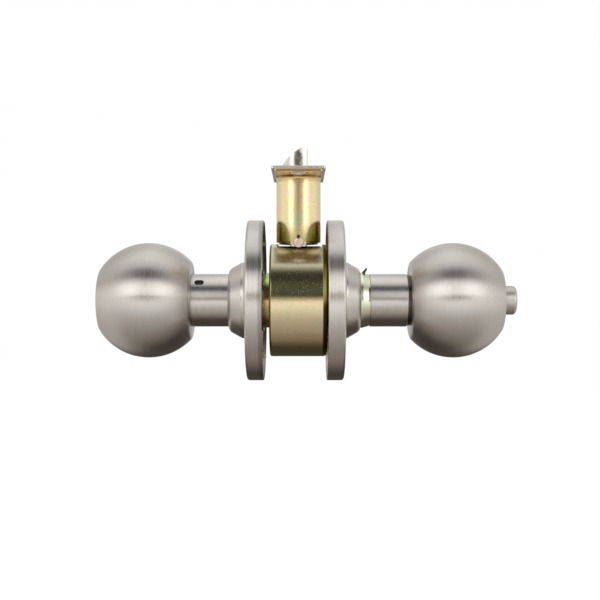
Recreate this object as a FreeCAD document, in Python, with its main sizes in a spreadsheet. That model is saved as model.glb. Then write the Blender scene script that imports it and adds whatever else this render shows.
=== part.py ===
import FreeCAD, Part
import math
import os

import Sketcher
from FreeCAD import Placement, Rotation, Vector

os.makedirs("parts", exist_ok=True)

# Knob lock: the knobs turn about X, the outside is at -X and the inside at +X, the latch points up
# along Z. The origin is where the knob axis crosses the latch axis. All sizes are in millimetres.

SIZES = {
    # fits between pieces that move on each other
    "run_gap": 0.05,
    "slide_gap": 0.2,
    "side_gap": 0.3,
    # how far a cut runs past the solid
    "overrun": 1.0,
    # chassis
    "drum_rad": 26.4,
    "drum_wall": 1.5,
    "drum_length": 26.6,
    "drum_edge": 1.0,
    "end_wall": 1.2,
    "cover_depth": 2.2,
    "cover_edge": 1.8,
    "spigot": 2.0,
    "window_left": 9.4,
    "window_span": 16.0,
    "hub_wall": 1.65,
    "hub_flange_rad": 15.5,
    "hub_flange": 1.0,
    "outer_hub_reach": 12.0,
    "inner_hub_reach": 6.7,
    # roses and the plates that carry them
    "outer_gap": 2.8,
    "rose_rad": 37.65,
    "rose_depth": 7.8,
    "rose_wall": 0.9,
    "rose_corner": 1.2,
    "rim_edge": 0.4,
    "boss_height": 8.8,
    "inner_boss_height": 7.9,
    "boss_hole": 13.2,
    "boss_lip_rad": 15.4,
    "boss_lip_drop": 1.7,
    "boss_foot_rad": 17.9,
    "boss_foot_drop": 6.2,
    "plate_thick": 1.2,
    "plate_inset": 1.6,
    "plate_collar_rad": 14.3,
    "plate_collar": 1.4,
    "spur_place": 26.6,
    "spur_base": 2.9,
    "spur_height": 2.8,
    "spur_width": 1.2,
    "notch_width": 5.0,
    "notch_depth": 0.9,
    # plate screws
    "screw_inset": 4.3,
    "screw_rad": 1.5,
    "screw_length": 8.0,
    "head_rad": 3.0,
    "head_height": 1.8,
    "driver_slot": 0.8,
    # collar and clip of the inner rose
    "collar_rad": 13.0,
    "collar_tip_rad": 12.0,
    "collar_land": 10.0,
    "collar_length": 13.5,
    "collar_notch": 1.0,
    "collar_notch_low": 0.6,
    "collar_notch_high": 6.0,
    "clip_thick": 0.5,
    "clip_width": 3.2,
    "clip_length": 7.9,
    "clip_root": 2.0,
    "clip_slant": 0.4,
    "tongue_foot": 1.3,
    "tongue_run": 2.5,
    "tongue_rise": 2.6,
    # spindles and cams
    "spindle_rad": 11.2,
    "spindle_wall": 1.6,
    "cam_start": 3.2,
    "cam_thick": 7.6,
    "lobe_gap": 0.35,
    "cam_flat": 4.0,
    "cam_swing": 75.0,
    "cam_top": 11.6,
    "cam_bore": 3.4,
    "cam_crown": 30.0,
    # knobs and necks
    "knob_rad": 27.0,
    "knob_wall": 1.2,
    "knob_front": 24.0,
    "knob_back": 20.2,
    "knob_dome": 1.2,
    "front_edge": 2.5,
    "back_edge": 2.0,
    "outer_knob_seat": 50.2,
    "inner_knob_seat": 52.5,
    "outer_knob_gap": 0.15,
    "inner_knob_gap": 1.5,
    "neck_rad": 12.4,
    "neck_wall": 1.15,
    "neck_edge": 0.4,
    "outer_neck_end": 27.0,
    "inner_neck_end": 33.55,
    "sleeve_rad": 11.9,
    "sleeve_wall": 0.9,
    "inner_sleeve": 8.0,
    # catches
    "catch_tilt": 48.0,
    "catch_inset": 3.95,
    "catch_length": 4.4,
    "catch_width": 3.0,
    "catch_sink": 0.8,
    "catch_step": 0.8,
    "catch_flange": 0.6,
    "catch_flange_rad": 9.2,
    "leaf_thick": 0.35,
    "leaf_width": 5.0,
    "leaf_sweep": 220.0,
    # key cylinder
    "cylinder_rad": 8.9,
    "cylinder_length": 29.6,
    "cylinder_inset": 0.5,
    "cylinder_flange": 2.0,
    "bible_width": 7.2,
    "bible_height": 14.4,
    "bible_setback": 4.1,
    "bible_cover": 0.6,
    "plug_rad": 6.35,
    "plug_proud": 0.2,
    "plug_tail": 2.5,
    "keyway_height": 8.2,
    "keyway_width": 2.2,
    "keyway_low": 4.9,
    "keyway_ward": 0.6,
    "pin_count": 5,
    "pin_rad": 1.4,
    "pin_pitch": 4.0,
    "pin_first": 6.6,
    "pin_tip": 1.0,
    "driver_length": 3.6,
    "pin_spring_turns": 2,
    "plug_clip_rad": 8.0,
    "plug_clip_thick": 0.8,
    "plug_clip_sweep": 300.0,
    "plug_groove": 0.7,
    "tailpiece_width": 5.0,
    "tailpiece_thick": 1.0,
    "tailpiece_end": 9.0,
    "tailpiece_root": 1.4,
    # push button
    "button_rad": 6.775,
    "button_reach": 6.0,
    "button_length": 15.6,
    "button_edge": 1.6,
    "button_dome": 40.65,
    "button_turns": 4,
    "bushing_wall": 1.4,
    "bushing_flange": 1.6,
    "bushing_depth": 18.7,
    "bar_rad": 1.5,
    "bar_end": 4.0,
    "bar_head": 2.5,
    "bar_head_span": 2.7,
    "bar_head_half": 1.2,
    # retractor
    "web_half": 2.2,
    "body_half": 13.6,
    "body_top": 8.0,
    "shoulder_x": 10.5,
    "shoulder_y": 11.6,
    "shoulder_thick": 4.0,
    "ear_sink": 1.0,
    "ear_bottom": 1.0,
    "post_half": 6.8,
    "post_top": 20.8,
    "claw": 2.5,
    "slot_half": 4.4,
    "claw_half": 2.3,
    "guide_depth": 6.1,
    "guide_half": 6.0,
    "guide_top": 10.0,
    "guide_bottom": 13.5,
    "seat_rise": 3.9,
    "seat_thick": 1.6,
    "seat_half": 5.0,
    "coil_place": 9.5,
    "coil_rad": 1.85,
    "coil_wire": 0.6,
    "coil_top": 4.8,
    "coil_turns": 6,
    # latch
    "backset": 60.0,
    "face_width": 24.4,
    "face_length": 57.0,
    "face_thick": 1.2,
    "face_corner": 0.8,
    "face_screw_inset": 7.9,
    "face_screw_rad": 2.25,
    "sink_rad": 4.4,
    "sink_depth": 2.2,
    "sink_land": 0.5,
    "dimple_wall": 0.9,
    "stake_rad": 0.9,
    "stake_x": 7.3,
    "stake_y": 22.5,
    "stake_drop": 0.4,
    "flange_inset": 1.4,
    "flange_thick": 1.0,
    "flange_blend": 1.2,
    "tube_rad": 10.4,
    "tube_wall": 1.0,
    "tube_gap": 0.9,
    "tube_cap": 1.5,
    "prong_place": 3.6,
    "prong_thick": 0.7,
    "prong_half": 5.0,
    "prong_drop": 6.8,
    "foot_rad": 9.2,
    "foot_wall": 1.2,
    "peg_hole": 0.8,
    "peg_rise": 2.2,
    "stud_rad": 2.3,
    "stud_drop": 0.65,
    "stud_height": 1.9,
    "stud_tab_half": 3.6,
    "stud_tab": 1.7,
    "bolt_play": 0.8,
    "bolt_flat": 4.4,
    "bolt_throw": 11.0,
    "bolt_edge": 1.4,
    "bolt_root": 10.0,
    "bolt_collar": 3.0,
    "bevel_start": 1.5,
    "bevel_low": 1.5,
    "bevel_rad": 25.0,
    "tail_half": 1.2,
    "tail_width": 2.0,
    "tail_head": 4.0,
    "tail_head_height": 3.0,
    "bolt_coil_rad": 6.0,
    "bolt_coil_wire": 0.8,
    "bolt_coil_turns": 6,
}

# Length of each bottom pin from the face inwards, which is what the key's cuts would match.
PIN_LENGTHS = (5.4, 4.4, 5.9, 4.9, 5.4)
# Points along each cam lobe.
LOBE_POINTS = 9
# Share of its half width that the corners of a rounded end take.
END_ROUNDING = 0.9

doc = FreeCAD.newDocument("knob_lock")
sheet = doc.addObject("Spreadsheet::Sheet", "dims")
for row, (alias, value) in enumerate(SIZES.items(), start=1):
    sheet.set(f"A{row}", alias)
    sheet.set(f"B{row}", str(value))
    sheet.setAlias(f"B{row}", alias)
doc.recompute()


class Size:
    """A size that keeps both its value and the expression over the sheet that gives it."""

    def __init__(self, text, value):
        self.text = text
        self.value = float(value)

    def __add__(self, other):
        other = as_size(other)
        return Size(f"({self.text} + {other.text})", self.value + other.value)

    def __sub__(self, other):
        other = as_size(other)
        return Size(f"({self.text} - {other.text})", self.value - other.value)

    def __mul__(self, factor):
        factor = as_size(factor)
        return Size(f"({self.text} * {factor.text})", self.value * factor.value)

    def __truediv__(self, other):
        other = as_size(other)
        return Size(f"({self.text} / {other.text})", self.value / other.value)

    def __neg__(self):
        return Size(f"(-{self.text})", -self.value)

    def __radd__(self, other):
        return as_size(other) + self

    def __rsub__(self, other):
        return as_size(other) - self

    def __rmul__(self, other):
        return as_size(other) * self

    def bound(self):
        return "dims." in self.text


def as_size(value):
    return value if isinstance(value, Size) else Size(repr(float(value)), value)


def leg(hypotenuse, side):
    """The third side of a right triangle, for a circle cut at a distance from its centre."""
    text = f"sqrt({hypotenuse.text} ^ 2 - {side.text} ^ 2)"
    return Size(text, math.sqrt(hypotenuse.value**2 - side.value**2))


def sine(angle):
    return Size(f"sin({angle.text} * 1 deg)", math.sin(math.radians(angle.value)))


def cosine(angle):
    return Size(f"cos({angle.text} * 1 deg)", math.cos(math.radians(angle.value)))


class Dims:
    """Every alias of the sheet, as a Size."""

    def __init__(self):
        for alias in SIZES:
            setattr(self, alias, Size(f"dims.{alias}", sheet.get(alias)))


d = Dims()
pieces = []

# Places that several pieces share, all worked out from the sheet.
chassis_half = d.drum_length / 2
drum_bore = d.drum_rad - d.drum_wall
hub_bore = d.spindle_rad + d.run_gap
hub_rad = hub_bore + d.hub_wall
guide_face = drum_bore - d.guide_depth
ear_half = guide_face + d.ear_sink
seat_top = drum_bore - d.seat_rise
screw_place = drum_bore - d.screw_inset
tube_end = d.drum_rad + d.tube_gap
bolt_rad = d.tube_rad - d.tube_wall - d.bolt_play
face_screws = d.face_length - d.face_screw_inset * 2
outer_rim = chassis_half + d.outer_gap
inner_rim = chassis_half
collar_end = chassis_half + d.inner_hub_reach + d.collar_length
shoulder_top = d.cam_flat + d.side_gap
shoulder_low = shoulder_top + d.shoulder_thick
face_under = d.backset - d.face_thick
knob_reach = d.knob_back + d.knob_front
outer_end = d.outer_knob_seat + knob_reach
inner_end = d.inner_knob_seat + knob_reach
cylinder_face = outer_end - d.cylinder_inset
cylinder_tail = cylinder_face - d.cylinder_length
button_root = inner_end + d.button_reach - d.button_length
bushing_rad = d.button_rad + d.run_gap + d.bushing_wall
bushing_root = inner_end - d.bushing_depth
sleeve_bore = d.sleeve_rad - d.sleeve_wall


def keep(piece, label):
    piece.Label = label
    pieces.append(piece)
    return piece


def bind(thing, prop, size):
    size = as_size(size)
    if size.bound():
        thing.setExpression(prop, size.text)
    elif "." not in prop:
        setattr(thing, prop, size.value)


def new_body(label):
    return keep(doc.addObject("PartDesign::Body", label), label)


def sketch_on(body, role, lift=None, tilt=None):
    """A sketch on an origin plane of its body, lifted along the normal and tilted about X."""
    sketch = body.newObject("Sketcher::SketchObject", "Profile")
    support = next(f for f in body.Origin.OriginFeatures if f.Role == role)
    sketch.AttachmentSupport = [(support, "")]
    sketch.MapMode = "FlatFace"
    lift = as_size(0 if lift is None else lift)
    if tilt is None:
        sketch.AttachmentOffset = Placement(Vector(0, 0, lift.value), Rotation())
        bind(sketch, "AttachmentOffset.Base.z", lift)
    else:
        turned = Rotation(Vector(1, 0, 0), tilt.value)
        sketch.AttachmentOffset = Placement(turned * Vector(0, 0, lift.value), turned)
        bind(sketch, "AttachmentOffset.Base.y", -lift * sine(tilt))
        bind(sketch, "AttachmentOffset.Base.z", lift * cosine(tilt))
        sketch.setExpression("AttachmentOffset.Rotation.Angle", tilt.text)
    return sketch


def pin_point(sketch, item, end, x, y):
    """Fix one point of the sketch by its two distances from the origin."""
    for kind, size in (("DistanceX", x), ("DistanceY", y)):
        if size.value == 0:
            axis = -2 if kind == "DistanceX" else -1
            sketch.addConstraint(Sketcher.Constraint("PointOnObject", item, end, axis))
            continue
        index = sketch.addConstraint(Sketcher.Constraint(kind, -1, 1, item, end, size.value))
        if size.bound():
            sketch.setExpression(f"Constraints[{index}]", size.text)


def set_radius(sketch, item, radius):
    index = sketch.addConstraint(Sketcher.Constraint("Radius", item, radius.value))
    if radius.bound():
        sketch.setExpression(f"Constraints[{index}]", radius.text)


def draw_outline(sketch, corners):
    """A closed outline. A corner is (x, y), or (x, y, radius) where the side that leaves it is an arc,
    anticlockwise for a positive radius and clockwise for a negative one."""
    corners = [tuple(as_size(value) for value in corner) for corner in corners]
    count = len(corners)
    first = sketch.GeometryCount
    ends = []
    for index, corner in enumerate(corners):
        start = Vector(corner[0].value, corner[1].value, 0)
        following = corners[(index + 1) % count]
        end = Vector(following[0].value, following[1].value, 0)
        if len(corner) == 2:
            sketch.addGeometry(Part.LineSegment(start, end), False)
            ends.append((1, 2))
            continue
        radius = abs(corner[2].value)
        chord = end - start
        rise = math.sqrt(max(radius**2 - chord.Length**2 / 4, 0))
        side = Vector(-chord.y, chord.x, 0).normalize()
        turning = 1 if corner[2].value > 0 else -1
        centre = start + chord / 2 + side * rise * turning
        low, high = (start, end) if turning > 0 else (end, start)
        angles = [math.atan2(p.y - centre.y, p.x - centre.x) for p in (low, high)]
        circle = Part.Circle(centre, Vector(0, 0, 1), radius)
        sketch.addGeometry(Part.ArcOfCircle(circle, angles[0], angles[1]), False)
        ends.append((1, 2) if turning > 0 else (2, 1))
    for index in range(count):
        after = (index + 1) % count
        here, there = (first + index, ends[index][1]), (first + after, ends[after][0])
        sketch.addConstraint(Sketcher.Constraint("Coincident", *here, *there))
    for index, corner in enumerate(corners):
        pin_point(sketch, first + index, ends[index][0], corner[0], corner[1])
        if len(corner) == 3:
            set_radius(sketch, first + index, corner[2] if corner[2].value > 0 else -corner[2])


def draw_circle(sketch, x, y, radius):
    x, y, radius = as_size(x), as_size(y), as_size(radius)
    item = sketch.addGeometry(Part.Circle(Vector(x.value, y.value, 0), Vector(0, 0, 1), radius.value), False)
    pin_point(sketch, item, 3, x, y)
    set_radius(sketch, item, radius)


def box_corners(x0, x1, y0, y1):
    return [(x0, y0), (x1, y0), (x1, y1), (x0, y1)]


def rounded_box(half_x, half_y, corner, x=0):
    """A rectangle about a point of the first axis, with round corners."""
    return [
        (x + corner - half_x, -half_y), (x + half_x - corner, -half_y, corner),
        (x + half_x, corner - half_y), (x + half_x, half_y - corner, corner),
        (x + half_x - corner, half_y), (x + corner - half_x, half_y, corner),
        (x - half_x, half_y - corner), (x - half_x, corner - half_y, corner),
    ]


def catch_section(x, grow=0):
    """Outline of a catch and of its hole, nearly round at both ends."""
    half_x, half_y = d.catch_length / 2 + grow, d.catch_width / 2 + grow
    return rounded_box(half_x, half_y, half_y * END_ROUNDING, x)


def revolve(body, corners, axis="H_Axis", role="XZ_Plane", angle=None):
    sketch = sketch_on(body, role)
    draw_outline(sketch, corners)
    turned = body.newObject("PartDesign::Revolution", "Turned")
    turned.Profile = sketch
    turned.ReferenceAxis = (sketch, [axis])
    turned.Angle = 360
    if angle is not None:
        bind(turned, "Angle", angle)
    doc.recompute()
    return turned


def take_away(body, feature, sketch):
    """Finish a cut, and make sure that it met the solid."""
    feature.Profile = sketch
    before = body.Shape.Volume
    doc.recompute()
    if not body.Shape.Volume < before - 1e-4:
        raise RuntimeError(f"a cut in {body.Label} met nothing")
    return feature


def groove(body, corners, axis="H_Axis", role="XZ_Plane"):
    sketch = sketch_on(body, role)
    draw_outline(sketch, corners)
    ring = body.newObject("PartDesign::Groove", "Groove")
    ring.Profile = sketch
    ring.ReferenceAxis = (sketch, [axis])
    ring.Angle = 360
    return take_away(body, ring, sketch)


def extrude(body, sketch, length, both=False):
    pad = body.newObject("PartDesign::Pad", "Pad")
    pad.Profile = sketch
    bind(pad, "Length", length)
    if both:
        pad.SideType = "Symmetric"
    doc.recompute()
    return pad


def cut_through(body, sketch, way=0):
    """A pocket right through: both ways from its sketch, along the normal for 1, against it for -1."""
    pocket = body.newObject("PartDesign::Pocket", "Pocket")
    pocket.Profile = sketch
    pocket.Type = "ThroughAll"
    if way == 0:
        pocket.SideType = "Symmetric"
    else:
        pocket.Reversed = way > 0
    return take_away(body, pocket, sketch)


def cut_depth(body, sketch, depth, both=False, along=True):
    """A pocket of a given depth, along the sketch's normal or, with both, half of it each way."""
    pocket = body.newObject("PartDesign::Pocket", "Pocket")
    pocket.Profile = sketch
    bind(pocket, "Length", depth)
    if both:
        pocket.SideType = "Symmetric"
    else:
        pocket.Reversed = along
    return take_away(body, pocket, sketch)


def repeat_along(body, feature, sketch, axis, pitch, count):
    """The same feature again and again, a pitch apart along an axis of its sketch."""
    row = body.newObject("PartDesign::LinearPattern", "Row")
    row.Originals = [feature]
    row.Direction = (sketch, [axis])
    row.Mode = "Spacing"
    bind(row, "Offset", pitch)
    bind(row, "Occurrences", count)
    body.Tip = row
    doc.recompute()
    return row


def round_circles(body, radius, wanted):
    """Fillet the circular edges whose place along the axis and radius are wanted."""
    base = body.Tip
    names = []
    for number, edge in enumerate(base.Shape.Edges, start=1):
        if not edge.Degenerated and isinstance(edge.Curve, Part.Circle) and wanted(edge.Curve):
            names.append(f"Edge{number}")
    fillet = body.newObject("PartDesign::Fillet", "Rounded")
    fillet.Base = (base, names)
    bind(fillet, "Radius", radius)
    doc.recompute()
    return fillet


def ring_at(x, radius, axis=0):
    """A test for round_circles: a circle about the axis, at a place along it and of a radius."""
    x, radius = as_size(x).value, as_size(radius).value
    near = 1e-3

    def wanted(circle):
        centre = circle.Center
        return abs(centre[axis] - x) < near and abs(circle.Radius - radius) < near

    return wanted


def face_at(place, axis):
    """A test for round_circles: any circle at a place along an axis."""
    place = as_size(place).value
    near = 1e-3
    return lambda circle: abs(circle.Center[axis] - place) < near


def turn_about_z(body):
    """Stand a piece on the other side of the lock."""
    body.Placement = Placement(Vector(), Rotation(Vector(0, 0, 1), 180))


def move_x(body, x):
    body.Placement = Placement(Vector(as_size(x).value, 0, 0), body.Placement.Rotation)
    bind(body, "Placement.Base.x", x)


def part_box(name, x0, x1, y0, y1, z0, z1):
    """A box between two planes each way."""
    box = doc.addObject("Part::Box", name)
    for prop, low, high in (("Length", x0, x1), ("Width", y0, y1), ("Height", z0, z1)):
        bind(box, prop, as_size(high) - as_size(low))
    for prop, low in (("x", x0), ("y", y0), ("z", z0)):
        setattr(box.Placement.Base, prop, as_size(low).value)
    base = Vector(*(as_size(low).value for low in (x0, y0, z0)))
    box.Placement = Placement(base, Rotation())
    for prop, low in (("x", x0), ("y", y0), ("z", z0)):
        bind(box, f"Placement.Base.{prop}", as_size(low))
    return box


def part_rod(name, radius, x0, x1, y=0, z=0):
    """A round rod along X."""
    rod = doc.addObject("Part::Cylinder", name)
    x0, x1, y, z = as_size(x0), as_size(x1), as_size(y), as_size(z)
    bind(rod, "Radius", radius)
    bind(rod, "Height", x1 - x0)
    rod.Placement = Placement(Vector(x0.value, y.value, z.value), Rotation(Vector(0, 1, 0), 90))
    for prop, place in (("x", x0), ("y", y), ("z", z)):
        bind(rod, f"Placement.Base.{prop}", place)
    return rod


def joined(kind, name, base, tool):
    result = doc.addObject(f"Part::{kind}", name)
    result.Base = base
    result.Tool = tool
    return result


def coil(radius, wire, length, turns):
    """A coil spring along Z from the origin, of square wire."""
    h = wire / 2
    helix = Part.Wire(Part.makeLongHelix((length - wire) / turns, length - wire, radius))
    corners = [(radius - h, 0), (radius + h, 0), (radius + h, wire), (radius - h, wire)]
    points = [Vector(x, 0, z) for x, z in corners]
    profile = Part.Wire(Part.makePolygon(points + points[:1]))
    return helix.makePipeShell([profile], True, True)


def feature(label, shape, place=None):
    piece = doc.addObject("Part::Feature", label)
    piece.Shape = shape
    if place is not None:
        piece.Placement = place
    return keep(piece, label)


def chassis_drum():
    """Cup of the chassis: a wall with one end, open on the cover's side and at the latch window."""
    body = new_body("chassis_drum")
    open_end = chassis_half - d.cover_depth
    revolve(body, [
        (-chassis_half, hub_rad), (-chassis_half, d.drum_rad), (open_end, d.drum_rad),
        (open_end, drum_bore), (d.end_wall - chassis_half, drum_bore), (d.end_wall - chassis_half, hub_rad),
    ])
    round_circles(body, d.drum_edge, ring_at(-chassis_half, d.drum_rad))
    window = sketch_on(body, "XY_Plane")
    half = d.window_span / 2
    draw_outline(window, box_corners(-d.window_left, chassis_half, -half, half))
    cut_through(body, window, way=1)


def chassis_cover():
    """End cover with a rounded shoulder and a spigot inside the drum."""
    body = new_body("chassis_cover")
    joint = chassis_half - d.cover_depth
    spigot_bore = drum_bore - d.end_wall
    revolve(body, [
        (joint, d.drum_rad), (chassis_half, d.drum_rad), (chassis_half, hub_rad),
        (chassis_half - d.end_wall, hub_rad), (chassis_half - d.end_wall, spigot_bore),
        (joint - d.spigot, spigot_bore), (joint - d.spigot, drum_bore), (joint, drum_bore),
    ])
    round_circles(body, d.cover_edge, ring_at(chassis_half, d.drum_rad))
    holes = sketch_on(body, "YZ_Plane")
    for side in (1, -1):
        draw_circle(holes, side * screw_place, 0, d.screw_rad)
    cut_through(body, holes)


def hub(label, reach, outer):
    """Flanged hub that carries a spindle; the flange bears on the drum's end from inside."""
    body = new_body(label)
    inside = d.end_wall - chassis_half
    revolve(body, [
        (-chassis_half - reach, hub_bore), (-chassis_half - reach, hub_rad), (inside, hub_rad),
        (inside, d.hub_flange_rad), (inside + d.hub_flange, d.hub_flange_rad),
        (inside + d.hub_flange, hub_bore),
    ])
    if not outer:
        turn_about_z(body)


def rose(label, seat, outer):
    """Spun rose: a flanged rim, a flat face and a boss that narrows in a cone to its hole."""
    body = new_body(label)
    tip = d.rose_depth + (d.boss_height if outer else d.inner_boss_height)
    foot = tip - d.boss_foot_drop
    lip = tip - d.boss_lip_drop
    wall = d.rose_wall
    flare = foot - d.rose_depth
    revolve(body, [
        (0, d.rose_rad - wall), (0, d.rose_rad), (d.rose_depth, d.rose_rad),
        (d.rose_depth, d.boss_foot_rad + flare, flare), (foot, d.boss_foot_rad),
        (lip, d.boss_lip_rad, -d.boss_lip_drop * 2), (tip, d.boss_hole), (tip - wall, d.boss_hole),
        (lip - wall / 2, d.boss_lip_rad - wall), (foot, d.boss_foot_rad - wall),
        (d.rose_depth - wall, d.boss_foot_rad + flare - wall), (d.rose_depth - wall, d.rose_rad - wall),
    ])
    round_circles(body, d.rose_corner, ring_at(d.rose_depth, d.rose_rad))
    round_circles(body, d.rim_edge, ring_at(0, d.rose_rad))
    if outer:
        turn_about_z(body)
        move_x(body, -seat)
        return
    notch = sketch_on(body, "XY_Plane")
    half = d.notch_width / 2
    draw_outline(notch, box_corners(-d.notch_depth, d.notch_depth, -half, half))
    cut_through(body, notch, way=-1)
    move_x(body, seat)


def outer_mount_plate():
    """Plate inside the outer rose, with a threaded collar and two spurs that bite the door."""
    body = new_body("outer_mount_plate")
    face = -outer_rim - d.plate_inset
    revolve(body, [
        (face - d.plate_thick, hub_rad), (face - d.plate_thick, d.rose_rad - d.rose_wall - d.side_gap),
        (face, d.rose_rad - d.rose_wall - d.side_gap), (face, d.plate_collar_rad),
        (face + d.plate_collar, d.plate_collar_rad), (face + d.plate_collar, hub_rad),
    ])
    for side in (1, -1):
        sketch = sketch_on(body, "XZ_Plane")
        middle = side * d.spur_place
        half = d.spur_base / 2
        draw_outline(sketch, [(face, middle - half), (face + d.spur_height, middle), (face, middle + half)])
        extrude(body, sketch, d.spur_width, both=True)


def inner_mount_plate():
    """Plate inside the inner rose, held to the chassis cover by two screws."""
    body = new_body("inner_mount_plate")
    face = inner_rim + d.plate_inset
    edge = d.rose_rad - d.rose_wall - d.side_gap
    revolve(body, box_corners(face, face + d.plate_thick, hub_rad, edge))
    holes = sketch_on(body, "YZ_Plane")
    for side in (1, -1):
        draw_circle(holes, side * screw_place, 0, d.screw_rad)
    cut_through(body, holes)


def mounting_screws():
    """The two plate screws, each a shank with a slotted pan head."""
    head_seat = inner_rim + d.plate_inset + d.plate_thick
    screws = []
    for side, name in ((1, "back"), (-1, "front")):
        y = side * screw_place
        shank = part_rod(f"shank_{name}", d.screw_rad, head_seat - d.screw_length, head_seat, y)
        head = part_rod(f"head_{name}", d.head_rad, head_seat, head_seat + d.head_height, y)
        whole = joined("Fuse", f"screw_{name}", shank, head)
        slot = part_box(
            f"slot_{name}", head_seat + d.head_height / 2, head_seat + d.head_height * 2,
            y - d.head_rad * 2, y + d.head_rad * 2, -d.driver_slot / 2, d.driver_slot / 2,
        )
        screws.append(joined("Cut", f"slotted_{name}", whole, slot))
    pair = doc.addObject("Part::Compound", "mounting_screws")
    pair.Links = screws
    keep(pair, "mounting_screws")


def inner_collar():
    """Tapered collar on the end of the inner hub, slotted for the rose's clip."""
    body = new_body("inner_collar")
    start = chassis_half + d.inner_hub_reach
    revolve(body, [
        (start, hub_bore), (start, d.collar_rad), (start + d.collar_land, d.collar_rad),
        (collar_end, d.collar_tip_rad), (collar_end, hub_bore),
    ])
    slot = sketch_on(body, "XY_Plane", lift=clip_seat())
    half = d.clip_width / 2 + d.slide_gap
    draw_outline(slot, box_corners(start + d.clip_root - d.slide_gap, collar_end + d.overrun, -half, half))
    cut_through(body, slot, way=1)
    notch = sketch_on(body, "XZ_Plane")
    notch_start = collar_end - d.collar_notch
    draw_outline(notch, box_corners(
        notch_start, collar_end + d.overrun, -d.collar_notch_low, d.collar_notch_high,
    ))
    cut_through(body, notch, way=1)


def clip_seat():
    """Height of the clip's underside, so that its top stays inside the collar."""
    return d.collar_rad - d.clip_thick - d.slide_gap


def rose_clip():
    """Leaf of spring steel under the inner rose's boss, with its tongue turned up outside."""
    body = new_body("rose_clip")
    start = chassis_half + d.inner_hub_reach + d.clip_root
    seat = clip_seat()
    bend = start + d.clip_length
    sketch = sketch_on(body, "XZ_Plane")
    draw_outline(sketch, [
        (start, seat), (bend + d.tongue_foot, seat), (bend + d.tongue_run, seat + d.tongue_rise),
        (bend + d.tongue_run - d.clip_thick, seat + d.tongue_rise + d.clip_slant),
        (bend - d.clip_thick / 2, seat + d.clip_thick), (start, seat + d.clip_thick),
    ])
    extrude(body, sketch, d.clip_width, both=True)


def retractor_guides():
    """Two grooved blocks on the drum's wall, in which the retractor's ears slide."""
    guides = []
    for side, name in ((1, "back"), (-1, "front")):
        near, far = side * guide_face, side * d.drum_rad
        low, high = (near, far) if side > 0 else (far, near)
        block = part_box(
            f"block_{name}", -d.guide_half, d.guide_half, low, high, -d.guide_bottom, d.guide_top,
        )
        bore = part_rod(f"bore_{name}", drum_bore, -d.guide_half * 2, d.guide_half * 2)
        fitted = joined("Common", f"fitted_{name}", block, bore)
        depth = side * (ear_half + d.slide_gap)
        half = d.web_half + d.slide_gap
        low, high = sorted((as_size(0), depth), key=lambda size: size.value)
        groove_box = part_box(f"groove_{name}", -half, half, low, high, -d.drum_rad, d.drum_rad)
        guides.append(joined("Cut", f"guide_{name}", fitted, groove_box))
    pair = doc.addObject("Part::Compound", "retractor_guides")
    pair.Links = guides
    keep(pair, "retractor_guides")


def spring_seat():
    """Shelf across the drum under the retractor's springs."""
    shelf = part_box(
        "shelf", -d.seat_half, d.seat_half, -d.drum_rad, d.drum_rad, -seat_top - d.seat_thick, -seat_top,
    )
    bore = part_rod("shelf_bore", drum_bore, -d.seat_half * 2, d.seat_half * 2)
    keep(joined("Common", "spring_seat", shelf, bore), "spring_seat")


def retractor():
    """Slide that the cams push down: shoulders under both cams, ears in the guides, claws on the tail."""
    body = new_body("retractor")
    profile = sketch_on(body, "YZ_Plane")
    claw_low = d.post_top - d.claw
    slot_low = -(shoulder_top - d.side_gap / 2)
    half = [
        (d.body_half, -shoulder_low), (d.body_half, -d.ear_bottom), (ear_half, -d.ear_bottom),
        (ear_half, d.body_top), (d.post_half, d.body_top), (d.post_half, d.post_top),
        (d.claw_half, d.post_top), (d.claw_half, claw_low), (d.slot_half, claw_low), (d.slot_half, slot_low),
    ]
    draw_outline(profile, half + [(-y, z) for y, z in reversed(half)])
    extrude(body, profile, d.web_half * 2, both=True)
    shoulders = sketch_on(body, "XY_Plane", lift=-shoulder_low)
    draw_outline(shoulders, box_corners(-d.shoulder_x, d.shoulder_x, -d.shoulder_y, d.shoulder_y))
    extrude(body, shoulders, d.shoulder_thick)
    slots = sketch_on(body, "YZ_Plane")
    room = d.coil_rad + d.coil_wire / 2 + d.slide_gap
    for side in (1, -1):
        middle = side * d.coil_place
        draw_outline(slots, box_corners(middle - room, middle + room, -shoulder_low - d.overrun, d.coil_top))
    cut_depth(body, slots, room * 2, both=True)


def retractor_springs():
    """The pair of springs that lift the retractor."""
    length = seat_top.value + d.coil_top.value
    coils = []
    for side in (1, -1):
        spring = coil(d.coil_rad.value, d.coil_wire.value, length, d.coil_turns.value)
        spring.translate(Vector(0, side * d.coil_place.value, -seat_top.value))
        coils.append(spring)
    feature("retractor_springs", Part.makeCompound(coils))


def cam_base():
    """Base radius of the involute, the largest whose lobes still pass the guides."""
    swing = math.radians(d.cam_swing.value)
    flat = d.cam_flat.value
    tip = guide_face.value - d.lobe_gap.value
    square, half = 1 + swing**2, flat * swing
    return (math.sqrt(half**2 + square * (tip**2 - flat**2)) - half) / square


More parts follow.
